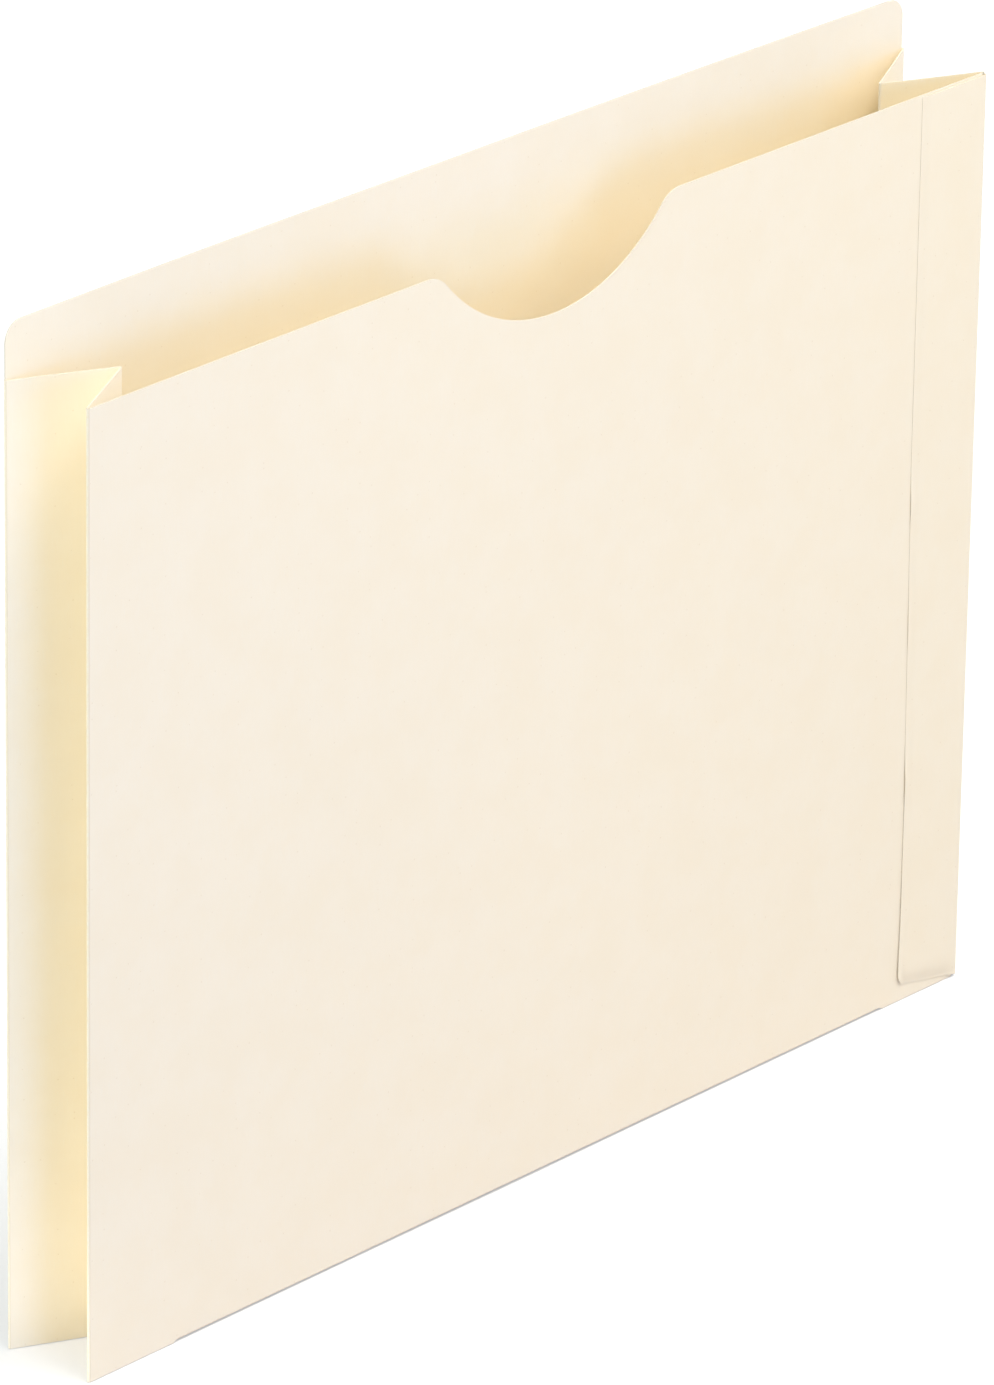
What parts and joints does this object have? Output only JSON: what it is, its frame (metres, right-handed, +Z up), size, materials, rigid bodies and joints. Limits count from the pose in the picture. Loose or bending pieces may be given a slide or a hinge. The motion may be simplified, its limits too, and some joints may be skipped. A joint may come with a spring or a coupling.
{
  "type": "file jacket",
  "caption": "Expanding manila file jacket: flat front and back panels joined by V-folded side gussets and a folded bottom, with a straight tab and a thumb notch.",
  "frame": {"origin": "on the table, below the middle of the pocket's bounding box", "axes": "+X along the width towards the seam side, +Y from the front panel to the back panel, +Z up to the tab"},
  "size_m": [0.2984, 0.026, 0.2413],
  "materials": {
    "manila": "matte buff manila stock, smooth, with fine fibre flecks",
    "manila_rear": "the same stock on the rear laps",
    "dried_glue": "thin dried adhesive, hidden under the laps"
  },
  "bodies": {
    "back": {"back_panel": "manila", "tab_second_ply": "manila_rear", "tab_glue": "dried_glue", "bottom_flap": "manila_rear", "bottom_glue": "dried_glue"},
    "left_back_leaf": {"left_gusset_back_leaf": "manila"},
    "left_front_leaf": {"left_gusset_front_leaf": "manila"},
    "front": {"front_panel": "manila", "seam_flap": "manila", "seam_glue": "dried_glue"},
    "right_back_leaf": {"right_gusset_back_leaf": "manila"},
    "right_front_leaf": {"right_gusset_front_leaf": "manila"},
    "bottom_rear_leaf": {"bottom_back_leaf": "manila"},
    "bottom_fore_leaf": {"bottom_front_leaf": "manila"}
  },
  "joints": [
    {"name": "left_back_fold", "type": "hinge", "parent": "back", "child": "left_back_leaf", "pos_m": [-0.14922, 0.01205, 0.1143], "axis": [0, 0, -1], "range_deg": [-26, 61]},
    {"name": "left_centre_fold", "type": "hinge", "parent": "left_back_leaf", "child": "left_front_leaf", "pos_m": [-0.12686, 0, 0.1143], "axis": [0, 0, 1], "range_deg": [-52, 122]},
    {"name": "left_front_fold", "type": "hinge", "parent": "left_front_leaf", "child": "front", "pos_m": [-0.14922, -0.01205, 0.1143], "axis": [0, 0, -1], "range_deg": [-26, 61]},
    {"name": "right_back_fold", "type": "hinge", "parent": "back", "child": "right_back_leaf", "pos_m": [0.14922, 0.01205, 0.1143], "axis": [0, 0, 1], "range_deg": [-26, 61]},
    {"name": "right_centre_fold", "type": "hinge", "parent": "right_back_leaf", "child": "right_front_leaf", "pos_m": [0.12686, 0, 0.1143], "axis": [0, 0, -1], "range_deg": [-52, 122]},
    {"name": "bottom_back_fold", "type": "hinge", "parent": "back", "child": "bottom_rear_leaf", "pos_m": [0, 0.01205, 0.00073], "axis": [1, 0, 0], "range_deg": [-26, 61]},
    {"name": "bottom_centre_fold", "type": "hinge", "parent": "bottom_rear_leaf", "child": "bottom_fore_leaf", "pos_m": [0, 0, 0.0231], "axis": [-1, 0, 0], "range_deg": [-52, 122]}
  ],
  "couplings": [
    {"joint": "left_centre_fold", "follows": "left_front_fold", "ratio": 2},
    {"joint": "left_back_fold", "follows": "left_front_fold", "ratio": 1},
    {"joint": "right_back_fold", "follows": "left_front_fold", "ratio": 1},
    {"joint": "right_centre_fold", "follows": "left_front_fold", "ratio": 2},
    {"joint": "bottom_back_fold", "follows": "left_front_fold", "ratio": 1},
    {"joint": "bottom_centre_fold", "follows": "left_front_fold", "ratio": 2}
  ]
}
